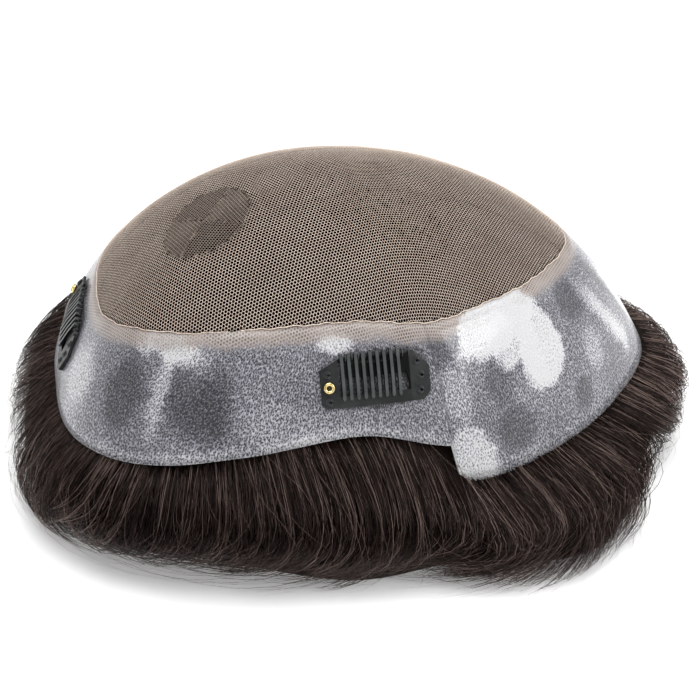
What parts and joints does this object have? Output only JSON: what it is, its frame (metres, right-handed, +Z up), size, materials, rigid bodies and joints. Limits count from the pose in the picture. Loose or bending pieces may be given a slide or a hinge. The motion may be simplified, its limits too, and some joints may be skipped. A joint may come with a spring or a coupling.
{
  "type": "toupee hairpiece",
  "caption": "Toupee lying inside out on its own hair: a lace dome in a clear skin band with temple steps, snap comb clips sewn round it, and waved dark hair under it.",
  "frame": {"origin": "on the surface that the hair lies on, under the middle of the hair", "axes": "+X towards the front hairline, +Z up, one side clip towards -Y and the other towards +Y"},
  "size_m": [0.2188, 0.1776, 0.0903],
  "materials": {
    "lace": "beige monofilament lace",
    "crown_net": "closer lace with a swirl of knots",
    "skin": "clear polyurethane film with the roots showing through",
    "hair": "dark brown human hair, slightly waved",
    "clip_lacquer": "black lacquered spring steel",
    "eyelet_brass": "polished"
  },
  "bodies": {
    "root": {"lace_cap": "lace", "crown_patch": "crown_net", "skin_band": "skin", "hair": "hair", "side_clip_near": "clip_lacquer", "side_clip_near_eyelet": "eyelet_brass", "side_clip_far": "clip_lacquer", "side_clip_far_eyelet": "eyelet_brass", "back_clip": "clip_lacquer", "back_clip_eyelet": "eyelet_brass"}
  },
  "joints": []
}
